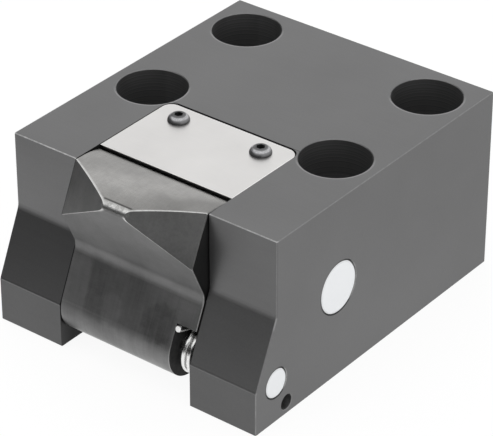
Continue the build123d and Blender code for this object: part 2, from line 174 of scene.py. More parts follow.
def spring_surface(shape):
    """Round wire along the spring's line. Ring i is c(i) + r s(i) (cos v n(i) + sin v b(i)), with
    t the line's direction, n square to t and to the pin, and b = t x n. s draws the ring in at the
    two cut ends, so their rims are softly broken."""
    line = spring_line(shape)
    radius = shape.wire_diameter / MM / 2
    along = np.concatenate(([0], np.cumsum(np.linalg.norm(np.diff(line, axis=0), axis=1))))
    length = along[-1]
    rim_at = np.array([0.0, 0.05, 0.14])
    rim_scale = np.array([0.86, 0.96, 1.0])
    past_rim = 0.2
    inner = along[(along > past_rim) & (along < length - past_rim)]
    at = np.unique(np.concatenate((rim_at, length - rim_at, inner)))
    centre = np.stack([np.interp(at, along, line[:, k]) for k in range(3)], axis=-1)
    ahead = np.gradient(centre, at, axis=0)
    ahead /= np.linalg.norm(ahead, axis=1)[:, None]
    inward = np.cross(ahead, [1.0, 0, 0])
    inward /= np.linalg.norm(inward, axis=1)[:, None]
    across = np.cross(ahead, inward)
    scale = np.interp(np.minimum(at, length - at), rim_at, rim_scale)
    v = np.arange(shape.sides) / shape.sides * tau
    rings = centre[:, None] + radius * scale[:, None, None] * (
        np.cos(v)[None, :, None] * inward[:, None] + np.sin(v)[None, :, None] * across[:, None])
    marks = np.stack(np.broadcast_arrays(at[:, None], np.cos(v)[None, :] * radius), axis=-1)
    return skin("return_spring_wound", rings, centre[0], centre[-1], marks)


def screw_surface(shape):
    """The screw as one closed skin about its line. v is the angle about the line and s runs from
    the ball's cup, along the thread and over the chamfer, and down the hexagon socket.
    Thread: r(y, v) = crest - depth h(y / pitch + v / turn), where h is a flat-topped triangle.
    Socket: r(v) = half the width over cos of the angle from the middle of its nearest flat."""
    sides, rings_a_pitch = 144, 16
    crest_share, flank_share = 0.12, 0.72
    cup_slope, pole_radius = 0.577, 0.02
    socket_flare, socket_edge, socket_cone = 1.12, 0.25, 0.9
    front, length = shape.front / MM, shape.length / MM
    rear, crest, pitch = front + length, shape.diameter / MM / 2, shape.pitch / MM
    chamfer, cup = shape.chamfer / MM, shape.cup_radius / MM
    v = np.arange(sides) / sides * tau
    body = np.linspace(front, rear, int(length / pitch * rings_a_pitch))
    wave = np.abs(((body[:, None] / pitch + v[None, :] / tau) % 1.0) * 2 - 1)
    depth = shape.thread_depth / MM * np.clip((wave - crest_share) / flank_share, 0, 1)
    cone = np.minimum(body - front, rear - body) + crest - chamfer
    threaded = np.minimum(crest - depth, cone[:, None])
    flat = np.abs((v + tau / 12) % (tau / 6) - tau / 12)
    hexagon = shape.socket_width / MM / 2 / np.cos(flat)
    socket_floor = rear - shape.socket_depth / MM
    even = np.ones_like(v)
    rows = [
        (front + cup * cup_slope, pole_radius * even), (front, cup * even),
        *((y, r) for y, r in zip(body, threaded)),
        (rear, hexagon * socket_flare), (rear - socket_edge, hexagon), (socket_floor, hexagon),
        (socket_floor - socket_cone, pole_radius * even),
    ]
    y = np.array([row[0] for row in rows])
    r = np.array([row[1] for row in rows])
    rings = np.stack((r * np.sin(v), np.broadcast_to(y[:, None], r.shape), r * np.cos(v)), axis=-1)
    rings += (SCREW_LINE[0], 0, SCREW_LINE[1])
    poles = [(SCREW_LINE[0], end, SCREW_LINE[1]) for end in (y[0], y[-1])]
    return skin("clamping_screw_threaded", rings, *poles, crease=24.0)


# Finishes

class Number:
    """A number that a finish works out at each point. Sums and products of it add nodes."""

    def __init__(self, finish, socket):
        self.finish = finish
        self.socket = socket

    def __add__(self, other):
        return self.finish.math("ADD", self, other)

    def __sub__(self, other):
        return self.finish.math("SUBTRACT", self, other)

    def __rsub__(self, other):
        return self.finish.math("SUBTRACT", other, self)

    def __mul__(self, other):
        return self.finish.math("MULTIPLY", self, other)

    def __truediv__(self, other):
        return self.finish.math("DIVIDE", self, other)

    def __abs__(self):
        return self.finish.math("ABSOLUTE", self)

    __radd__ = __add__
    __rmul__ = __mul__


class Finish:
    """A material and its nodes. Its patterns read the place on the object in millimetres."""

    def __init__(self, name, colour, metallic, roughness):
        self.material = bpy.data.materials.new(name)
        self.material.use_nodes = True
        self.tree = self.material.node_tree
        self.shader = self.tree.nodes["Principled BSDF"]
        self.shader.inputs["Base Color"].default_value = (*colour, 1)
        self.shader.inputs["Metallic"].default_value = metallic
        self.shader.inputs["Roughness"].default_value = roughness
        self.colour = tuple(colour)
        place = self.add("ShaderNodeTexCoord")
        self.place = self.vector("MULTIPLY", place.outputs["Object"], (1 / MM, 1 / MM, 1 / MM))
        self.normal = place.outputs["Normal"]
        self.x, self.y, self.z = self.split(self.place)

    def add(self, kind, *values, **settings):
        """A new node with its settings, and with the values on its first sockets."""
        node = self.tree.nodes.new(kind)
        for name, value in settings.items():
            setattr(node, name, value)
        for socket, value in zip(node.inputs, values):
            self.join(value, socket)
        return node

    def join(self, value, socket):
        """Links what is worked out to a socket, and sets the socket to anything else."""
        if isinstance(value, Number):
            value = value.socket
        if isinstance(value, bpy.types.NodeSocket):
            self.tree.links.new(value, socket)
        else:
            socket.default_value = value

    def drive(self, name, value):
        self.join(value, self.shader.inputs[name])

    def finished(self, colour, roughness, relief=None):
        """The material, with its colour, its roughness and its relief."""
        self.drive("Base Color", colour)
        self.drive("Roughness", roughness)
        if relief is not None:
            self.drive("Normal", relief)
        return self.material

    def math(self, operation, *values):
        return Number(self, self.add("ShaderNodeMath", *values, operation=operation).outputs[0])

    def most(self, first, *others):
        """The largest of the numbers."""
        for other in others:
            first = self.math("MAXIMUM", first, other)
        return first

    def vector(self, operation, *values):
        return self.add("ShaderNodeVectorMath", *values, operation=operation).outputs["Vector"]

    def measure(self, operation, *values):
        node = self.add("ShaderNodeVectorMath", *values, operation=operation)
        return Number(self, node.outputs["Value"])

    def dot(self, value, direction):
        """How far a vector reaches along a direction."""
        return self.measure("DOT_PRODUCT", value, tuple(direction))

    def split(self, value):
        return [Number(self, part) for part in self.add("ShaderNodeSeparateXYZ", value).outputs]

    def point(self, x, y, z):
        return self.add("ShaderNodeCombineXYZ", x, y, z).outputs[0]

    def distance(self, first, second, centre=(0.0, 0.0)):
        """Distance from a centre, in the plane of two of the axes."""
        return self.measure("LENGTH", self.point(first - centre[0], second - centre[1], 0.0))

    def inside(self, centre, radius):
        """1 inside a round hole across the clamp, and 0 outside it."""
        return self.fall(self.distance(self.y, self.z, centre), radius - 0.03, radius + 0.03)

    def line(self, value, low, high, start=0.0, end=1.0):
        """Straight change from start to end as value goes from low to high."""
        return Number(self, self.add("ShaderNodeMapRange", value, low, high, start, end).outputs[0])

    def spread(self, noise, start, end):
        """Straight change from start to end over the usual range of a noise."""
        return self.line(noise, 0.3, 0.7, start, end)

    def ramp(self, value, low, high, start=0.0, end=1.0):
        """Smooth change from start to end as value goes from low to high."""
        return Number(self, self.add(
            "ShaderNodeMapRange", value, low, high, start, end,
            interpolation_type="SMOOTHSTEP").outputs[0])

    def fall(self, value, low, high):
        """1 up to low, and from there smoothly down to 0 at high."""
        return self.ramp(value, low, high, 1.0, 0.0)

    def band(self, value, low, first, last, high):
        """1 from first to last, and smoothly down to 0 at low and at high."""
        return self.ramp(value, low, first) * self.fall(value, last, high)

    def by_side(self, left, right, reach=5.0):
        """One number on the left and another on the right, with a smooth change between."""
        return self.ramp(self.x, -reach, reach, left, right)

    def blend(self, factor, first, second):
        """Number from first to second as factor goes from 0 to 1."""
        return self.math("MULTIPLY_ADD", factor, second - first, first)

    def profile(self, value, *stops):
        """Number that passes through the (value, number) stops, none of them above 2."""
        low, high = stops[0][0], stops[-1][0]
        node = self.add("ShaderNodeValToRGB", self.line(value, low, high))
        points = node.color_ramp.elements
        while len(points) < len(stops):
            points.new(0.5)
        for point, (at, number) in zip(points, stops):
            point.position = (at - low) / (high - low)
            point.color = (number / 2, number / 2, number / 2, 1)
        return Number(self, node.outputs["Color"]) * 2.0

    def noise(self, scale, detail=2.0, rough=0.5, place=None, stretch=None):
        """Noise from 0 to 1; scale is in features a millimetre, stretched along the axes."""
        at = place or self.place
        if stretch:
            at = self.vector("MULTIPLY", at, stretch)
        node = self.add("ShaderNodeTexNoise", at)
        node.inputs["Scale"].default_value = scale
        node.inputs["Detail"].default_value = detail
        node.inputs["Roughness"].default_value = rough
        return Number(self, node.outputs["Fac"])

    def blot(self, centre, size, warp):
        """1 within an uneven spot of the X-Z plane, fading to 0 round it."""
        away = self.distance((self.x - centre[0]) / size[0], (self.z - centre[1]) / size[1])
        return self.fall(away + self.spread(warp, -0.3, 0.3), 0.7, 1.2)

    def chamfers(self):
        """1 on faces that lean 45 degrees between two axes, which are the chamfers."""
        x, y, z = self.split(self.vector("ABSOLUTE", self.normal))
        return self.ramp(x * y + y * z + z * x, 0.44, 0.49)

    def mix(self, factor, first, second, kind="MIX"):
        """Colour from first to second as factor goes from 0 to 1."""
        node = self.add("ShaderNodeMix", data_type="RGBA", blend_type=kind)
        for socket, value in ((0, factor), (6, first), (7, second)):
            if isinstance(value, tuple):
                value = (*value, 1)
            self.join(value, node.inputs[socket])
        return node.outputs[2]

    def shade(self, colour, factor):
        """A colour times a factor."""
        return self.mix(1.0, colour, self.point(factor, factor, factor), "MULTIPLY")

    def bump(self, height, depth):
        """Relief: height 1 stands depth millimetres proud."""
        node = self.add("ShaderNodeBump")
        node.inputs["Distance"].default_value = depth * MM
        self.join(height, node.inputs["Height"])
        return node.outputs["Normal"]


def block_parts(f):
    """Where the block's parts are: each number is 1 on its part and 0 off it. The four counterbores
    are folded into one by |x| and |y|, and each gets a painted highlight at its front right."""
    at = SimpleNamespace(side=abs(f.x))
    at.from_bore = f.distance(at.side, abs(f.y), BORE)
    at.bore = f.fall(at.from_bore, BORE_RADIUS + 0.05, BORE_RADIUS + 0.12)
    at.bore = at.bore * f.fall(f.z, TOP - 0.26, TOP - 0.16)
    off_x = f.x - f.math("SIGN", f.x) * BORE[0]
    off_y = f.y - f.math("SIGN", f.y) * BORE[1]
    # The front right of each counterbore, where its rim gets a painted highlight
    at.rubbed = f.ramp((off_x * 0.6 - off_y * 0.8) / at.from_bore, -0.1, 0.4)
    at.spring_hole = f.inside(SPRING_PIN, SPRING_PIN_RADIUS + 0.07) * f.band(
        f.x, SLOT_HALF - 0.25, SLOT_HALF + 0.75, HALF_WIDTH - 0.3, HALF_WIDTH - 0.15)
    at.screw_bore = f.ramp(f.y, SCREW_BORE_FRONT, SCREW_BORE_FRONT + 1.0) * f.fall(
        f.distance(f.x, f.z, SCREW_LINE), SCREW_BORE_RADIUS, SCREW_BORE_RADIUS + 0.1)
    # The slot's walls, which are painted dark as shade
    at.wall = f.fall(at.side, SLOT_HALF + 0.01, SLOT_HALF + 0.05)
    at.wall = at.wall * f.fall(f.y, SEAT_REAR + 0.02, SEAT_REAR + 0.05)
    at.wall = at.wall * f.fall(f.z, TOP - 0.1, TOP - 0.04)
    at.wall = at.wall * f.ramp(at.from_bore, BORE_RADIUS + 0.3, BORE_RADIUS + 0.35)
    at.front = f.fall(f.y, FRONT + 0.3, FRONT + 0.8)
    at.front_face = at.front * f.fall(at.side, HALF_WIDTH - 0.3, HALF_WIDTH - 0.22)
    # The front edge beside the gap at the jaw, painted dark as the gap's shadow
    at.gap_edge = at.front * f.fall(at.side, SLOT_HALF + 0.17, SLOT_HALF + 0.22) * f.band(
        f.z, FOOT_HEIGHT - 0.1, FOOT_HEIGHT + 0.1, GAP_TOP, GAP_TOP + 1.0)
    # The strip at the rear of the cover's seat, painted dark as the shade in the gap round the
    # cover
    at.cover_seam = f.fall(at.side, SLOT_HALF + 0.05, SLOT_HALF + 0.1) * f.band(
        f.y, SEAT_REAR - 0.05, SEAT_REAR - 0.01, SEAT_REAR + 0.1, SEAT_REAR + 0.15)
    at.chamfer = f.chamfers()
    # The chamfers round the caps' holes: painted dark as shade, with a painted highlight on their
    # rear arc
    at.cap_seams = [
        at.chamfer * f.inside(centre, radius + 0.3)
        for centre, radius in ((JAW_PIVOT, JAW_PIN_RADIUS), (LEVER_PIVOT, LEVER_PIN_RADIUS))]
    return at


def block_tone(f, at, grain, cutter):
    """How light the oxide is: the grain, broad clouds and cutter marks, rings left by the tool in
    the bores, painted shade on the slot's walls, the cover's seat, the foot and round the caps,
    upright faces painted a little darker than the top, a front and slope painted lighter on one
    side than the other, and a painted highlight round the near rim of each counterbore."""
    ny, nz = f.split(f.normal)[1:]
    tone = f.spread(grain, 0.95, 1.05) + f.spread(f.noise(0.035, 3.0), -0.05, 0.05)
    tone = tone + f.spread(cutter, -0.015, 0.015)
    rings = f.noise(1.0, 3.0, 0.6, place=f.point(at.from_bore, f.z * 3.0, 0.0))
    tone = f.blend(at.bore, tone, f.spread(rings, 1.0, 1.9))
    tone = f.blend(at.spring_hole, tone, f.spread(grain, 1.5, 2.2))
    # Painted highlight on the top round the near rim of each counterbore
    bore_rim = at.rubbed * f.ramp(f.z, TOP - 0.1, TOP - 0.04) * f.band(
        at.from_bore, BORE_RADIUS + 0.16, BORE_RADIUS + 0.2, BORE_RADIUS + 0.55, BORE_RADIUS + 0.65)
    foot = at.front_face * f.fall(f.z, FOOT_HEIGHT - 0.2, FOOT_HEIGHT - 0.1)
    foot_corner = at.front_face * f.band(
        f.z, FOOT_HEIGHT, FOOT_HEIGHT + 0.1, FOOT_HEIGHT + 0.25, FOOT_HEIGHT + 0.6)
    slope = f.band(nz, 0.3, 0.4, 0.45, 0.6)
    # Painted light and shade: a highlight round the near rims of the counterbores, shade on the
    # slot's walls, the cover's seat, the foot, the line above the foot and the chamfers round the
    # caps, and the slope painted darker on the left and lighter on the right
    for part, factor in (
        (bore_rim, 1.55), (at.wall, f.ramp(f.y, FRONT - 8.5, FRONT - 3.0, 0.36, 0.08)),
        (at.cover_seam, 0.15), (slope, f.by_side(0.92, 1.1)), (foot, f.by_side(0.71, 0.8)),
        (foot_corner, 0.75), *((seam, 0.3) for seam in at.cap_seams),
    ):
        tone = tone * f.blend(part, 1.0, factor)
    # Upright faces painted a little darker than the top, and the front face painted lighter on the
    # left and darker on the right
    tone = tone * f.ramp(abs(nz), 0.1, 0.3, 0.91, 1.0)
    return tone * f.ramp(ny, -0.97, -0.93, f.by_side(1.09, 0.955), 1.0)


def block_wear_and_highlights(f, at):
    """How far the oxide is rubbed thin, and where highlights are painted on the edges: brightest
    along the chamfers at the front of the top, the slot and the rear of the cross holes, faint
    along the other edges, and nowhere inside."""
    high = f.ramp(f.z, TOP - 0.4, TOP - 0.25)
    # Painted highlight as well as wear: the top's front chamfers brightest, less so on the right
    strength = f.most(at.front * high * f.by_side(1.0, 0.62), f.blend(at.front, 0.15, 0.24))
    slope_edge = at.front * f.band(f.z, FOOT_HEIGHT, FOOT_HEIGHT + 0.5, GAP_TOP, GAP_TOP + 0.5)
    strength = strength * f.blend(slope_edge, 1.0, 0.2)
    # The counterbores' chamfers: a painted highlight, stronger on the near side
    bore_edge = high * f.fall(at.from_bore, BORE_RADIUS + 0.25, BORE_RADIUS + 0.3)
    strength = f.blend(bore_edge, strength, f.blend(at.rubbed, 0.1, 0.3))
    slot_edge = at.front * f.fall(at.side, SLOT_HALF + 0.2, SLOT_HALF + 0.25)
    strength = f.most(strength, slot_edge * 0.6)
    strength = strength * f.ramp(at.side, SLOT_HALF + 0.01, SLOT_HALF + 0.03)
    # Painted highlight on the rear arc of the chamfers round the caps, which faces the front
    rear_arc = f.most(f.ramp(f.split(f.normal)[1], -0.6, -0.35, 0.5, -0.1), 0.0)
    for seam in at.cap_seams:
        strength = f.blend(seam, strength, rear_arc)
    # A faint painted highlight along the foot's top edge
    ledge = at.front_face * f.band(
        f.z, FOOT_HEIGHT - 0.25, FOOT_HEIGHT - 0.18, FOOT_HEIGHT - 0.05, FOOT_HEIGHT + 0.02)
    inside = f.most(at.bore, at.spring_hole, at.wall, at.screw_bore)
    worn_and_highlit = f.most(at.chamfer * strength, ledge * 0.05) * (1.0 - inside)
    return worn_and_highlit * f.line(f.noise(0.5, 3.0, 0.7), 0.35, 0.6, 0.5, 1.0)


def blackened_block(look):
    """Black oxide on milled steel, rubbed thin on its edges, where highlights are painted too, and
    painted shade that hides the metal's gloss in the gap beside the jaw, on the slot's walls and
    round the cover."""
    metallic = 0.9
    f = Finish("blackened_steel_block", look.block_colour, metallic, look.block_roughness)
    at = block_parts(f)
    grain = f.noise(2.6, 3.0, 0.6)
    cutter = f.noise(1.0, stretch=(0.05, 2.2, 0.6))
    worn_and_highlit = block_wear_and_highlights(f, at)
    oxide = f.shade(f.colour, block_tone(f, at, grain, cutter))
    colour = f.mix(worn_and_highlit, oxide, tuple(look.worn_edge))
    # Painted shade: dark and without gloss in the gap beside the jaw, on the slot's walls above the
    # foot and round the cover's seat
    painted_shade = f.most(
        at.cover_seam, at.gap_edge, at.wall * f.ramp(f.z, FOOT_HEIGHT - 1.0, FOOT_HEIGHT + 0.5))
    f.drive("Metallic", f.blend(painted_shade, metallic, 0.0))
    f.drive("Specular IOR Level", f.blend(painted_shade, 0.5, 0.05))
    # The gap's edge is painted darker still, as the gap's shadow
    return f.finished(
        f.shade(colour, f.blend(at.gap_edge, 1.0, 0.15)),
        grain * 0.1 + (look.block_roughness - 0.05) - worn_and_highlit * 0.12,
        f.bump(grain + cutter * 0.4, 0.0016))


def facet_edges(f, on_facet):
    """Painted highlights of the nose, partly wear: the facets' edges and the ridge between them.
    They widen upwards, and the plane of a facet is folded over to the other side by |x|."""
    side = abs(f.x)
    away = abs(f.dot(f.point(side, f.y, f.z), FACET_NORMAL) - FACET_NORMAL.dot(RIDGE_END))
    edge = f.fall(away, 0.06, f.ramp(f.z, 44.0, 49.0, 0.25, 0.6)) * (1.0 - on_facet)
    edge = edge * f.ramp(f.z, 36.5, 48.5, 0.68, 1.0) * f.ramp(f.z, 36.0, 37.0)
    # Painted highlight along the rounded ridge
    ridge = f.fall(side, RIDGE_END.x + 0.25, RIDGE_END.x + 0.95)
    ridge = ridge * f.ramp(f.z, 47.3, 47.9) * f.ramp(f.z, 48.8, 49.1, 1.0, 0.5)
    ridge = ridge * f.fall(f.y, RIDGE_END.y + 0.5, RIDGE_END.y + 0.9)
    return f.most(edge, ridge * f.line(f.noise(1.3, 3.0, 0.7), 0.4, 0.6, 0.55, 1.2))


def front_skin(f, front, warp):
    """Tones of the jaw's hardened front, to add and to multiply by: low down lighter at the left,
    spots, broad clouds and upright streaks, and painted light and shade in bands by height,
    brightest towards the base."""
    border = f.noise(0.15, 3.0, 0.6) * 5.0 + f.x
    patches = f.ramp(border, -12.0, -10.2, 0.36, 0.0) * f.ramp(f.z, 11.0, 15.0)
    for centre, size, change in (
        ((9.5, 18.0), (5.5, 4.5), -0.26), ((-5.0, 16.5), (3.5, 4.0), 0.2),
        ((-9.8, 22.0), (1.5, 4.5), -0.16),
    ):
        patches = patches + f.blot(centre, size, warp) * change
    cloud = f.line(f.noise(0.09, 3.0, 0.6), 0.35, 0.65, -0.1, 0.16)
    streak = f.spread(f.noise(1.0, 3.0, 0.65, stretch=(1.2, 0.06, 0.06)), -0.06, 0.06)
    added = (cloud + streak + patches) * front * f.fall(f.z, 24.0, 28.0)
    # Painted light and shade in bands up the front: brighter towards the base, darker at the middle
    # of the valley's highlight, and darker low at the left
    rubbed = f.profile(
        warp * 2.0 + (f.z - 1.0),
        (4.0, 1.3), (7.5, 1.12), (10.0, 1.0), (13.2, 0.78), (14.6, 0.86), (20.5, 0.86),
        (23.5, 1.0), (25.5, 1.0), (27.3, 0.87), (30.0, 1.0), (36.0, 0.94), (46.0, 1.03))
    rubbed = rubbed * f.most(f.ramp(f.z, 12.0, 14.0), f.ramp(f.x, -9.0, 0.0, 0.86, 1.0))
    return added, f.blend(front, 1.0, rubbed)


def ground_jaw(look):
    """Ground tool steel: bright on top, greyer down the front where the hardening left its skin,
    with grinding lines along its outline, clouds of oil, bright edges that are painted highlights
    and partly wear, the left facet painted lighter than the right, painted light and shade in bands
    down the front, and painted shade on its ends, beside the slot and in the step."""
    f = Finish("ground_steel_jaw", look.jaw_colour, 1.0, look.jaw_roughness)
    side = abs(f.x)
    nx, ny, nz = f.split(f.normal)
    end = abs(nx)
    on_facet = f.ramp(f.dot(f.point(end, ny, nz), FACET_NORMAL), 0.985, 0.995)
    on_top = f.ramp(nz, 0.55, 0.9)
    front = 1.0 - f.most(on_top, on_facet)
    # Painted light on the facets: the left facet painted lighter, the right one darker, and darker
    # still lower down
    facet = look.jaw_facet * f.by_side(1.4, f.ramp(f.z, 38.0, 47.0, 0.58, 0.79), 2.0)
    facet = facet * f.spread(f.noise(0.13, 4.0, 0.6), 0.84, 1.14)

    # Top: palest along the middle, greyer beside the right facet's upper edge and at the rear left
    inward = (f.x - RIDGE_END.x) * EDGE_ACROSS[0] + (f.y - RIDGE_END.y) * EDGE_ACROSS[1]
    crown = f.profile(
        inward + f.spread(f.noise(0.18, 3.0, 0.6), -1.5, 1.5),
        (0.0, 0.93), (3.0, 0.93), (6.0, 1.03), (8.5, 1.2), (11.0, 1.26), (15.0, 1.12),
        (20.0, 1.0), (30.0, 0.96))
    crown = crown * f.blend(f.fall(inward, 4.0, 7.0), 1.0, f.ramp(f.x, 5.0, 14.0, 1.0, 0.82))
    tone = f.blend(on_top, f.blend(on_facet, look.jaw_front, facet), crown)

    # Grinding lines, scratches and clouds all over, and the marked skin in front with its painted
    # light and shade
    lines = f.noise(1.0, 3.0, 0.6, stretch=(4.0, 0.15, 0.15))
    scratch = f.noise(1.0, 3.0, 0.7, stretch=(0.5, 2.6, 2.6))
    cloud = f.noise(0.11, 4.0, 0.6)
    texture = f.spread(lines, 0.96, 1.04) + f.spread(scratch, -0.05, 0.05)
    texture = texture + f.spread(cloud, -0.14, 0.14) * f.blend(on_facet, 1.0, 0.2)
    added, rubbed = front_skin(f, front, f.noise(0.25, 3.0, 0.6))
    tone = tone * (added + texture) * rubbed
    # Painted shade: faces across the clamp, such as the ends and the step's wall, darker
    tone = tone * f.ramp(end, 0.5, 0.65, 1.0, 0.6) * f.ramp(end, 0.75, 0.9, 1.0, 0.45)

    # Painted shadow: a dark strip beside the slot, and a dark line across the ridge
    painted_gap_shadow = f.ramp(side, JAW_HALF - 0.22, JAW_HALF - 0.16) * f.fall(end, 0.9, 0.95)
    painted_gap_shadow = painted_gap_shadow * f.most(on_top, f.fall(f.x, -1.0, 1.0))
    painted_ridge_shadow = f.fall(side, RIDGE_END.x + 0.25, RIDGE_END.x + 0.95) * f.ramp(f.z, 48.0, 48.5)
    painted_ridge_shadow = painted_ridge_shadow * f.band(
        f.y, RIDGE_END.y + 0.65, RIDGE_END.y + 0.8, RIDGE_END.y + 1.1, RIDGE_END.y + 1.3)
    tone = tone * f.blend(painted_gap_shadow, 1.0, 0.15) * f.blend(painted_ridge_shadow, 1.0, 0.35)

    # Bright edges, painted highlights and partly wear: the lines of the nose, the chamfers at both
    # ends, and the edge of the step
    chamfered = f.chamfers() * f.most(
        f.ramp(side, JAW_HALF - 0.4, JAW_HALF - 0.25, 0.2, 0.0),
        f.ramp(f.x, JAW_HALF - 0.3, JAW_HALF - 0.25, 0.0, 0.3) * (1.0 - on_top))
    step_edge = f.band(f.x, STEP_X - 0.3, STEP_X - 0.2, STEP_X, STEP_X + 0.05)
    step_edge = step_edge * f.fall(f.z, STEP_HEIGHT - 0.2, STEP_HEIGHT) * front * 0.3
    worn_and_highlit = f.most(facet_edges(f, on_facet), chamfered, step_edge)
    worn_and_highlit = worn_and_highlit * f.line(f.noise(0.8, 3.0, 0.7), 0.35, 0.6, 0.6, 1.0)

    # The top keeps the warm tint of ground steel, and the hardened skin in front is a plain grey
    grey = (sum(look.jaw_colour) / 3,) * 3
    steel = f.mix(on_top, grey, f.colour)
    colour = f.mix(worn_and_highlit, f.shade(steel, tone), tuple(look.bright_edge))

    # Painted shade in the step beside the spring, without gloss
    painted_step_shade = f.ramp(end, 0.8, 0.9)
    painted_step_shade = painted_step_shade * f.band(f.x, STEP_X - 1.2, STEP_X - 0.7, STEP_X + 0.3, STEP_X + 0.8)
    f.drive("Metallic", 1.0 - painted_step_shade)
    f.drive("Specular IOR Level", f.blend(painted_step_shade, 0.5, 0.1))
    rough = f.blend(on_top, look.jaw_roughness + 0.2, look.jaw_roughness - 0.03)
    return f.finished(
        f.shade(colour, f.blend(painted_step_shade, 1.0, 0.16)), rough + cloud * 0.08 - worn_and_highlit * 0.15,
        f.bump(lines, 0.0006))


def satin_plate(look):
    """Satin stainless sheet: long fine brush lines, a bright chamfer and sheared sides
    painted dark as shade.
    """
    f = Finish("satin_stainless_plate", look.plate_colour, 1.0, look.plate_roughness)
    lines = f.noise(1.0, 3.0, 0.6, stretch=(0.12, 5.0, 5.0))
    cloud = f.noise(0.06, 3.0, 0.55)
    up = f.split(f.normal)[2]
    tone = f.spread(lines, 0.98, 1.01) + f.spread(cloud, -0.035, 0.035)
    # Sides painted dark as shade, and the chamfer brighter
    tone = tone * f.ramp(up, 0.3, 0.6, 0.25, 1.0) + f.band(up, 0.6, 0.65, 0.78, 0.85) * 0.25
    return f.finished(
        f.shade(f.colour, tone), lines * 0.06 + (look.plate_roughness - 0.03),
        f.bump(lines, 0.0004))


def black_button(look, name, x):
    """Glossy black oxide on a button head, with fine turned rings, and painted light and shade: a
    dark skirt and a dark collar painted as shade, a pale band round the dome painted as a
    highlight, and a darker hexagon socket painted as shade with a pale spot of painted light on its
    floor."""
    f = Finish(name, look.screw_colour, 0.85, look.screw_roughness)
    away = f.distance(f.x, f.y, (x, COVER_SCREW_Y))
    rings = f.noise(1.0, rough=0.6, place=f.point(away, 0.0, 0.0), stretch=(9.0, 1.0, 1.0))
    grain = f.noise(3.0)
    tone = f.spread(rings, 0.93, 1.05) + f.spread(grain, -0.04, 0.04)
    # Painted shade on the skirt and on a collar round the socket
    tone = tone * f.ramp(f.z, TOP + 0.1, TOP + 0.75, 0.3, 1.0) * f.ramp(away, 1.35, 1.85, 0.5, 1.0)
    # Painted highlight: a pale band round the dome
    pale = f.band(away, 1.75, 2.0, 2.3, 2.55)
    tone = tone * f.blend(pale, 1.0, f.line(grain, 0.35, 0.65, 1.9, 2.7))
    # Painted shade in the hexagon socket, and painted light on its floor
    socket = f.fall(away, 1.17, 1.22) * f.fall(f.z, TOP + 1.5, TOP + 1.62)
    floor = socket * f.fall(f.z, TOP + 0.66, TOP + 0.75) * f.fall(away, 0.5, 0.7)
    tone = tone * f.blend(socket, 1.0, 0.6) * f.blend(floor, 1.0, 6.0)
    return f.finished(
        f.shade(f.colour, tone), grain * 0.08 + (look.screw_roughness - 0.04), f.bump(rings, 0.001))


def moulded_cap(look, name, centre, radius):
    """White moulded plastic: a faint orange-peel skin, a fine ring inside the rim and a grey seam
    that is partly painted shadow of the hole's wall, wider towards the rear."""
    f = Finish(name, look.cap_colour, 0.0, look.cap_roughness)
    peel = f.noise(1.4, 3.0, 0.6)
    away = f.distance(f.y, f.z, centre)
    groove = f.fall(abs(away - (radius - 0.42)), 0.03, 0.14)
    # The seam's painted shadow reaches further in towards the rear
    wider = f.ramp(f.y - centre[0], radius * 0.5, radius * 0.8, 0.0, 0.25)
    tone = f.spread(peel, 0.985, 1.0) - groove * 0.13
    tone = tone * f.ramp(away + wider, radius - 0.2, radius - 0.1, 1.0, 0.12)
    return f.finished(
        f.shade(f.colour, tone), peel * 0.1 + (look.cap_roughness - 0.05),
        f.bump(peel * 0.12 - groove, 0.02))


def bright_steel(look, name, centre, along, radius):
    """Ground bright steel, turned about a line: fine rings along it and on its ends, which are a
    little darker than its side."""
    f = Finish(name, look.pin_colour, 1.0, 0.22)
    across = [f.x, f.y, f.z]
    down = across.pop(along)
    away = f.distance(*across, centre)
    rings = f.noise(1.0, 3.0, 0.6, place=f.point(away, down, 0.0), stretch=(6.0, 6.0, 1.0))
    tone = f.spread(rings, 0.9, 1.05) + f.spread(f.noise(2.0), -0.03, 0.03)
    tone = tone * f.ramp(away, radius - 0.5, radius - 0.1, 0.88, 1.0)
    return f.finished(
        f.shade(f.colour, tone), f.line(rings, 0.2, 0.8, 0.17, 0.3), f.bump(rings, 0.0006))


def ground_lever(look):
    """Ground tool steel with a light film of oil and grinding lines up the arm."""
    f = Finish("ground_steel_lever", look.jaw_colour, 1.0, 0.32)
    lines = f.noise(1.0, 3.0, 0.6, stretch=(3.0, 3.0, 0.2))
    cloud = f.noise(0.12, 3.0, 0.55)
    tone = f.spread(lines, 0.9, 1.06) + f.spread(cloud, -0.1, 0.08)
    return f.finished(f.shade(f.colour, tone), f.spread(cloud, 0.27, 0.37), f.bump(lines, 0.001))


def black_turned(look, name, dark_end):
    """Black oxide on a turned part in the rear bore: rings about the screw's line, thread crests
    rubbed bright, and painted shade, darker ahead of y = dark_end, where it lies inside the clamp."""
    f = Finish(name, look.ring_colour, 0.85, 0.34)
    away = f.distance(f.x, f.z, SCREW_LINE)
    rings = f.noise(1.0, rough=0.6, place=f.point(away, f.y, 0.0), stretch=(7.0, 7.0, 1.0))
    grain = f.noise(1.2, 3.0, 0.6)
    tone = f.spread(rings, 0.9, 1.06) + f.spread(grain, -0.06, 0.06)
    # Painted shade on the part ahead of dark_end, inside the clamp
    tone = tone * f.ramp(f.y, dark_end, dark_end + 1.2, 0.5, 1.0)
    crest = f.ramp(away, SCREW_RADIUS - 0.15, SCREW_RADIUS - 0.02) * 0.5
    colour = f.mix(crest, f.shade(f.colour, tone), tuple(look.worn_edge))
    return f.finished(colour, f.spread(grain, 0.28, 0.4), f.bump(rings, 0.0012))


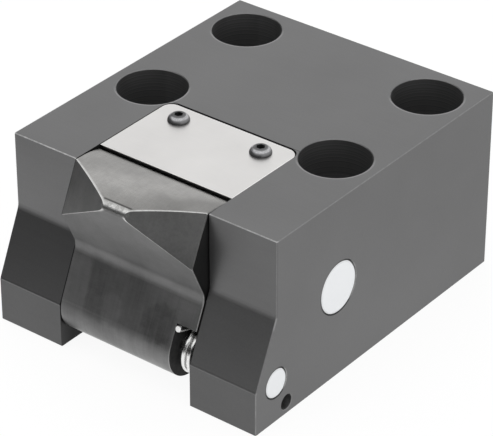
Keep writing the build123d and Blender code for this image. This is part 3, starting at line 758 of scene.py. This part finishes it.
def polished_ball(look):
    """Polished bearing ball, with a breath of oil that clouds it."""
    f = Finish("polished_ball", look.ball_colour, 1.0, 0.06)
    cloud = f.noise(0.5, 3.0)
    return f.finished(
        f.shade(f.colour, f.spread(cloud, 0.95, 1.0)), f.ramp(cloud, 0.45, 0.7, 0.05, 0.13))


def drawn_wire(look, shape):
    """Drawn bright wire: fine lines along the wire, read from the piece's own map, painted shade
    where one turn lies against the next, and a matt cut end on the moving leg."""
    turns_radius, cut_radius = 6.6, 9.6
    f = Finish("spring_wire", look.wire_colour, 1.0, 0.26)
    own = f.add("ShaderNodeUVMap", uv_map="wire").outputs[0]
    lines = f.noise(1.0, place=own, stretch=(0.25, 14.0, 1.0))
    spots = f.noise(0.9, 3.0, 0.6)
    # Painted shade in the crevices where the turns touch
    flank = f.fall(abs(f.split(own)[1]), 0.2, 0.5)
    painted_shade = flank * f.inside(JAW_PIVOT, turns_radius) * f.spread(spots, 0.45, 0.75)
    tone = (f.spread(lines, 0.88, 1.04) + f.spread(spots, -0.05, 0.05)) * (1.0 - painted_shade)
    cut = f.ramp(f.dot(f.normal, leg_direction(shape)), 0.7, 0.9)
    cut = cut * (1.0 - f.inside(JAW_PIVOT, cut_radius))
    f.drive("Metallic", f.blend(cut, 1.0, 0.2))
    return f.finished(
        f.shade(f.colour, tone), f.spread(lines, 0.2, 0.32) + cut * 0.3, f.bump(lines, 0.001))


def wear(piece, material):
    """Puts one material on every slot of a piece."""
    if not piece.material_slots:
        piece.data.materials.append(material)
    for slot in piece.material_slots:
        slot.material = material


# Studio

FLOOR_SIZE = 8.0
FLOOR_DROP = 0.0001
FLOOR_GLOW = 1.02
CARD_MIDDLE = -0.03
CARD_LIFT = 0.001
LAMP_PLACE = (-0.1, -0.1, 1.4)
LAMP_SIZE = 1.6
LAMP_AIM = (0.0, -0.01, 0.03)


def card_surface(studio):
    """A dark card bent up from the floor. Angle a goes round the clamp and s goes outwards:
    (w e sin a, y0 - e cos a, z), where e grows from the near to the far edge and z stays on the
    floor until e reaches the bend, then rises along a quarter of a circle and straight up."""
    angle_points, bend_points, bend_share = 61, 9, 0.4
    a = np.linspace(studio.card_start, studio.card_end, angle_points)[None, :]
    near, far, height = studio.card_near, studio.card_far, studio.card_height
    bend = (far - near) * bend_share
    turn = np.linspace(0, tau / 4, bend_points)
    out = np.concatenate(([near], far - bend + bend * np.sin(turn), [far]))[:, None]
    up = np.concatenate(([0.0], bend - bend * np.cos(turn), [height]))[:, None] + CARD_LIFT
    grid = np.stack(np.broadcast_arrays(
        studio.card_squeeze * out * np.sin(a), CARD_MIDDLE - out * np.cos(a), up), axis=-1)
    rows, columns = grid.shape[:2]
    here = (np.arange(rows - 1)[:, None] * columns + np.arange(columns - 1)[None, :]).ravel()
    faces = np.stack((here, here + columns, here + columns + 1, here + 1), axis=-1)
    mesh = bpy.data.meshes.new("dark_card")
    mesh.from_pydata(grid.reshape(-1, 3).tolist(), [], faces.tolist())
    mesh.update()
    return bpy.data.objects.new("dark_card", mesh)


def seen_rays(tree):
    """1 for rays that show a background: the camera's, those a gloss sends back, and those a glass
    lets through."""
    path = tree.nodes.new("ShaderNodeLightPath")
    total = path.outputs["Is Camera Ray"]
    for name in ("Is Glossy Ray", "Is Transmission Ray"):
        add = tree.nodes.new("ShaderNodeMath")
        add.operation = "ADD"
        add.use_clamp = True
        tree.links.new(total, add.inputs[0])
        tree.links.new(path.outputs[name], add.inputs[1])
        total = add.outputs[0]
    return total


def floor_material(studio):
    """Pale floor that shows as white background and still keeps a part of the object's shadow."""
    material = bpy.data.materials.new("studio_floor")
    material.use_nodes = True
    tree = material.node_tree
    tree.nodes.clear()
    paint = tree.nodes.new("ShaderNodeBsdfDiffuse")
    paint.inputs["Color"].default_value = (*studio.floor_colour, 1)
    glow = tree.nodes.new("ShaderNodeEmission")
    glow.inputs["Strength"].default_value = FLOOR_GLOW
    share = tree.nodes.new("ShaderNodeMath")
    share.operation = "MULTIPLY"
    share.inputs[1].default_value = studio.floor_white
    mix = tree.nodes.new("ShaderNodeMixShader")
    tree.links.new(seen_rays(tree), share.inputs[0])
    tree.links.new(share.outputs[0], mix.inputs[0])
    tree.links.new(paint.outputs[0], mix.inputs[1])
    tree.links.new(glow.outputs[0], mix.inputs[2])
    tree.links.new(mix.outputs[0], tree.nodes.new("ShaderNodeOutputMaterial").inputs[0])
    return material


def light_sky(scene, studio):
    """A white sky for the rays that show it, and a plain level of soft light for all others."""
    world = bpy.data.worlds.new("studio_sky")
    world.use_nodes = True
    scene.world = world
    tree = world.node_tree
    sky = tree.nodes["Background"]
    level = tree.nodes.new("ShaderNodeMapRange")
    level.inputs["To Min"].default_value = studio.sky_level
    level.inputs["To Max"].default_value = 1.0
    tree.links.new(seen_rays(tree), level.inputs[0])
    tree.links.new(level.outputs[0], sky.inputs["Strength"])
    sky.inputs["Color"].default_value = (1, 1, 1, 1)


def soft_lamp(scene, power):
    """An area lamp overhead that points at the clamp and doesn't show in reflections."""
    data = bpy.data.lights.new("overhead", "AREA")
    data.size = LAMP_SIZE
    data.energy = power
    lamp = bpy.data.objects.new("overhead", data)
    lamp.visible_glossy = False
    scene.collection.objects.link(lamp)
    turn = (Vector(LAMP_AIM) - Vector(LAMP_PLACE)).to_track_quat("-Z", "Y")
    lamp.matrix_world = Matrix.Translation(LAMP_PLACE) @ turn.to_matrix().to_4x4()


def aim_camera(scene, studio):
    """The camera, from its place, the direction it looks along, and the direction to its right."""
    data = bpy.data.cameras.new("camera")
    data.lens = studio.lens
    data.sensor_width = 36.0
    data.sensor_fit = "HORIZONTAL"
    camera = bpy.data.objects.new("camera", data)
    scene.collection.objects.link(camera)
    ahead = Vector(studio.camera_ahead).normalized()
    right = Vector(studio.camera_right)
    right = (right - right.dot(ahead) * ahead).normalized()
    turn = Matrix((right, right.cross(ahead), -ahead)).transposed().to_4x4()
    camera.matrix_world = Matrix.Translation(studio.camera_place) @ turn
    scene.camera = camera


# Settings

class ClampLook(PropertyGroup):
    block_colour: FloatVectorProperty(
        name="Block", description="Black oxide of the block", subtype="COLOR",
        default=(0.173, 0.173, 0.174), min=0, max=1)
    block_roughness: FloatProperty(
        name="Block roughness", description="Roughness of the block", subtype="FACTOR",
        default=0.42, min=0, max=1)
    worn_edge: FloatVectorProperty(
        name="Worn edges", description="Steel that shows where the oxide is rubbed thin",
        subtype="COLOR", default=(0.62, 0.62, 0.62), min=0, max=1)
    jaw_colour: FloatVectorProperty(
        name="Jaw", description="Ground steel of the jaw and the lever", subtype="COLOR",
        default=(0.3, 0.296, 0.288), min=0, max=1)
    jaw_roughness: FloatProperty(
        name="Jaw roughness", description="Roughness of the jaw's ground faces", subtype="FACTOR",
        default=0.25, min=0, max=1)
    jaw_front: FloatProperty(
        name="Jaw front", description="How bright the jaw's front is beside its top",
        subtype="FACTOR", default=0.76, min=0, max=1)
    jaw_facet: FloatProperty(
        name="Jaw facets", description="How bright the jaw's facets are beside its top",
        subtype="FACTOR", default=0.97, min=0, max=1)
    bright_edge: FloatVectorProperty(
        name="Jaw edges", description="Bright steel along the jaw's edges", subtype="COLOR",
        default=(0.7, 0.7, 0.69), min=0, max=1)
    plate_colour: FloatVectorProperty(
        name="Plate", description="Satin stainless of the cover plate", subtype="COLOR",
        default=(0.72, 0.71, 0.7), min=0, max=1)
    plate_roughness: FloatProperty(
        name="Plate roughness", description="Roughness of the cover plate", subtype="FACTOR",
        default=0.34, min=0, max=1)
    screw_colour: FloatVectorProperty(
        name="Cover screws", description="Dark finish of the cover's screws", subtype="COLOR",
        default=(0.2, 0.2, 0.205), min=0, max=1)
    screw_roughness: FloatProperty(
        name="Screw roughness", description="Roughness of the button heads", subtype="FACTOR",
        default=0.34, min=0, max=1)
    ring_colour: FloatVectorProperty(
        name="Clamping screw", description="Black oxide of the clamping screw and its ring",
        subtype="COLOR", default=(0.17, 0.17, 0.175), min=0, max=1)
    cap_colour: FloatVectorProperty(
        name="Caps", description="White plastic of the caps", subtype="COLOR",
        default=(0.885, 0.9, 0.915), min=0, max=1)
    cap_roughness: FloatProperty(
        name="Cap roughness", description="Roughness of the caps", subtype="FACTOR",
        default=0.42, min=0, max=1)
    pin_colour: FloatVectorProperty(
        name="Pins", description="Bright steel of the pins", subtype="COLOR",
        default=(0.6, 0.6, 0.59), min=0, max=1)
    ball_colour: FloatVectorProperty(
        name="Ball", description="Polished steel of the ball", subtype="COLOR",
        default=(0.8, 0.8, 0.8), min=0, max=1)
    wire_colour: FloatVectorProperty(
        name="Wire", description="Bright drawn wire of the spring", subtype="COLOR",
        default=(0.9, 0.9, 0.89), min=0, max=1)


class SpringShape(PropertyGroup):
    wire_diameter: FloatProperty(
        name="Wire", description="Diameter of the wire", unit="LENGTH", default=0.0016)
    coil_radius: FloatProperty(
        name="Coil radius", description="Radius to the wire's middle", unit="LENGTH",
        default=0.0055)
    pitch: FloatProperty(
        name="Pitch", description="Distance from turn to turn", unit="LENGTH", default=0.00164)
    turns: FloatProperty(name="Turns", description="Number of turns", default=2.3735)
    start_angle: FloatProperty(
        name="Start", description="Where the turns start, about the jaw's pin", subtype="ANGLE",
        default=radians(-65.57))
    fixed_x: FloatProperty(
        name="Fixed leg", description="Place of the fixed leg across the clamp", unit="LENGTH",
        default=0.01939)
    leg_drop: FloatProperty(
        name="Fixed leg reach", description="How far the fixed leg reaches from the pin",
        unit="LENGTH", default=0.0093)
    bend_radius: FloatProperty(
        name="Bend", description="Radius of the fixed leg's bend", unit="LENGTH", default=0.002)
    leg_length: FloatProperty(
        name="Moving leg", description="Length of the leg under the jaw", unit="LENGTH",
        default=0.008685)
    sides: IntProperty(name="Sides", description="Faces round the wire", default=28)


class ScrewShape(PropertyGroup):
    front: FloatProperty(
        name="Front", description="Where the screw's front end lies", unit="LENGTH",
        default=0.00439)
    length: FloatProperty(
        name="Length", description="Length of the screw", unit="LENGTH", default=0.022)
    diameter: FloatProperty(
        name="Diameter", description="Diameter over the thread", unit="LENGTH", default=0.012)
    pitch: FloatProperty(
        name="Pitch", description="Pitch of the thread", unit="LENGTH", default=0.00175)
    thread_depth: FloatProperty(
        name="Thread depth", description="Depth of the thread", unit="LENGTH", default=0.00107)
    chamfer: FloatProperty(
        name="Chamfer", description="Chamfer at both ends", unit="LENGTH", default=0.001)
    cup_radius: FloatProperty(
        name="Cup", description="Radius of the cup for the ball", unit="LENGTH", default=0.003)
    socket_width: FloatProperty(
        name="Socket", description="Width across the socket's flats", unit="LENGTH", default=0.006)
    socket_depth: FloatProperty(
        name="Socket depth", description="Depth of the socket", unit="LENGTH", default=0.008)


class Studio(PropertyGroup):
    camera_place: FloatVectorProperty(
        name="Camera", description="Place of the camera", subtype="TRANSLATION", unit="LENGTH",
        default=(0.3581, -0.4746, 0.3846))
    camera_ahead: FloatVectorProperty(
        name="Looks along", description="Direction that the camera looks along",
        subtype="DIRECTION", default=(-0.52273, 0.66771, -0.53003))
    camera_right: FloatVectorProperty(
        name="Right", description="Direction to the camera's right", subtype="DIRECTION",
        default=(0.78738, 0.61652, -0.00016))
    lens: FloatProperty(
        name="Lens", description="Focal length in millimetres", unit="CAMERA", default=201.16)
    floor_colour: FloatVectorProperty(
        name="Floor", description="Colour of the floor", subtype="COLOR",
        default=(0.82, 0.82, 0.82), min=0, max=1)
    floor_white: FloatProperty(
        name="Floor white", description="How far the floor shows as plain white", subtype="FACTOR",
        default=0.9, min=0, max=1)
    sky_level: FloatProperty(
        name="Sky level", description="Strength of the soft light all round", default=0.95)
    lamp_power: FloatProperty(
        name="Lamp power", description="Power of the soft lamp overhead", unit="POWER", default=6.0)
    card_near: FloatProperty(
        name="Card near edge", description="Distance of the dark card's near edge", unit="LENGTH",
        default=0.22)
    card_far: FloatProperty(
        name="Card far edge", description="Distance of the dark card's standing part",
        unit="LENGTH", default=0.45)
    card_squeeze: FloatProperty(
        name="Card squeeze", description="How much nearer the card stands at the sides",
        subtype="FACTOR", default=0.66)
    card_height: FloatProperty(
        name="Card height", description="Height of the dark card", unit="LENGTH", default=0.26)
    card_start: FloatProperty(
        name="Card left", description="Angle of its left end from the front", subtype="ANGLE",
        default=radians(-110))
    card_end: FloatProperty(
        name="Card right", description="Angle of its right end from the front", subtype="ANGLE",
        default=radians(60))


# Steps

class FinishBlock(Operator):
    """Gives the block its black oxide"""
    bl_idname = "clamp.finish_block"
    bl_label = "Block"
    bl_options = {"REGISTER", "UNDO"}

    def execute(self, context):
        wear(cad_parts["clamp_body"], blackened_block(context.scene.clamp_look))
        return {"FINISHED"}


class FinishJaw(Operator):
    """Gives the jaw and the lever their ground steel"""
    bl_idname = "clamp.finish_jaw"
    bl_label = "Jaw and lever"
    bl_options = {"REGISTER", "UNDO"}

    def execute(self, context):
        look = context.scene.clamp_look
        wear(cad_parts["clamping_jaw"], ground_jaw(look))
        wear(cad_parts["thrust_lever"], ground_lever(look))
        return {"FINISHED"}


class FinishCover(Operator):
    """Gives the cover plate its satin steel and its screws their black oxide"""
    bl_idname = "clamp.finish_cover"
    bl_label = "Cover plate and screws"
    bl_options = {"REGISTER", "UNDO"}

    def execute(self, context):
        look = context.scene.clamp_look
        wear(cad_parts["cover_plate"], satin_plate(look))
        for side, x in (("left", -COVER_SCREW_X), ("right", COVER_SCREW_X)):
            black = black_button(look, "black_screw_" + side, x)
            wear(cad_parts["cover_screw_" + side], black)
        return {"FINISHED"}


class FinishCaps(Operator):
    """Gives the plastic caps and the lever's spacers their white plastic"""
    bl_idname = "clamp.finish_caps"
    bl_label = "Caps"
    bl_options = {"REGISTER", "UNDO"}

    def execute(self, context):
        look = context.scene.clamp_look
        for material, piece, centre, radius in (
            ("white_plastic_jaw_pin", "jaw_pin_cap_", JAW_PIVOT, JAW_PIN_RADIUS - CAP_CLEARANCE),
            ("white_plastic_lever_pin", "lever_pin_cap_", LEVER_PIVOT,
             LEVER_PIN_RADIUS - CAP_CLEARANCE),
            ("white_plastic_spacer", "lever_spacer_", LEVER_PIVOT, SPACER_RADIUS),
        ):
            white = moulded_cap(look, material, centre, radius)
            for side in ("left", "right"):
                wear(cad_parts[piece + side], white)
        return {"FINISHED"}


class FinishPins(Operator):
    """Gives the pins and the ball their bright steel"""
    bl_idname = "clamp.finish_pins"
    bl_label = "Pins and ball"
    bl_options = {"REGISTER", "UNDO"}

    def execute(self, context):
        look = context.scene.clamp_look
        for name, centre, along, radius in (
            ("jaw_pin", JAW_PIVOT, 0, JAW_PIN_RADIUS),
            ("lever_pin", LEVER_PIVOT, 0, LEVER_PIN_RADIUS),
            ("lever_nose_pin", NOSE_PIN, 0, NOSE_PIN_RADIUS),
            ("spring_pin", SPRING_PIN, 0, SPRING_PIN_RADIUS),
            ("thrust_pin", SCREW_LINE, 1, THRUST_PIN_RADIUS),
        ):
            bright = bright_steel(look, "bright_steel_" + name, centre, along, radius)
            wear(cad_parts[name], bright)
        wear(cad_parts["thrust_ball"], polished_ball(look))
        return {"FINISHED"}


class WindSpring(Operator):
    """Winds the return spring and puts it in its solid's place"""
    bl_idname = "clamp.wind_spring"
    bl_label = "Return spring"
    bl_options = {"REGISTER", "UNDO"}

    def execute(self, context):
        shape = context.scene.clamp_spring
        piece = spring_surface(shape)
        wear(piece, drawn_wire(context.scene.clamp_look, shape))
        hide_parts("return_spring")
        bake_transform(piece)
        return {"FINISHED"}


class CutScrew(Operator):
    """Cuts the clamping screw's thread and socket, and blackens it and its ring"""
    bl_idname = "clamp.cut_screw"
    bl_label = "Clamping screw and ring"
    bl_options = {"REGISTER", "UNDO"}

    def execute(self, context):
        look = context.scene.clamp_look
        piece = screw_surface(context.scene.clamp_screw)
        wear(piece, black_turned(look, "black_screw_thread", SCREW_BORE_FRONT - 2.0))
        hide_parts("clamping_screw")
        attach(piece, "screw")
        wear(
            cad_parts["retaining_ring"],
            black_turned(look, "black_screw_ring", SCREW_BORE_FRONT))
        return {"FINISHED"}


class SetStage(Operator):
    """Lays the floor, hangs the lamp and the sky, stands the dark card and aims the camera"""
    bl_idname = "clamp.set_stage"
    bl_label = "Studio"
    bl_options = {"REGISTER", "UNDO"}

    def execute(self, context):
        scene, studio = context.scene, context.scene.clamp_studio
        scene.view_settings.view_transform = "Standard"
        bpy.ops.mesh.primitive_plane_add(size=FLOOR_SIZE, location=(0, 0, -FLOOR_DROP))
        floor = context.object
        floor.name = "studio_floor"
        wear(floor, floor_material(studio))
        card = card_surface(studio)
        scene.collection.objects.link(card)
        wear(card, Finish("dark_card", (0.02, 0.02, 0.02), 0.0, 0.9).material)
        for rays in ("camera", "diffuse", "transmission", "shadow"):
            setattr(card, "visible_" + rays, False)
        light_sky(scene, studio)
        soft_lamp(scene, studio.lamp_power)
        aim_camera(scene, studio)
        return {"FINISHED"}


STEPS = (
    FinishBlock, FinishJaw, FinishCover, FinishCaps, FinishPins, WindSpring, CutScrew, SetStage)


class ClampPanel(Panel):
    """Lists the steps of the clamp's dressing"""
    bl_idname = "VIEW3D_PT_clamp"
    bl_label = "Pull-down clamp"
    bl_space_type = "VIEW_3D"
    bl_region_type = "UI"
    bl_category = "Clamp"

    def draw(self, context):
        for step in STEPS:
            self.layout.operator(step.bl_idname)
        for group in GROUPS:
            box = self.layout.box()
            settings = getattr(context.scene, group)
            for name in settings.__annotations__:
                box.prop(settings, name)


GROUPS = {
    "clamp_look": ClampLook, "clamp_spring": SpringShape,
    "clamp_screw": ScrewShape, "clamp_studio": Studio,
}
CLASSES = (*GROUPS.values(), *STEPS, ClampPanel)


def register():
    for kind in CLASSES:
        bpy.utils.register_class(kind)
    for name, group in GROUPS.items():
        setattr(bpy.types.Scene, name, PointerProperty(type=group))


def unregister():
    for name in GROUPS:
        delattr(bpy.types.Scene, name)
    for kind in reversed(CLASSES):
        bpy.utils.unregister_class(kind)


def main():
    register()
    for step in STEPS:
        group, name = step.bl_idname.split(".")
        getattr(getattr(bpy.ops, group), name)()


if __name__ == "__main__":
    main()
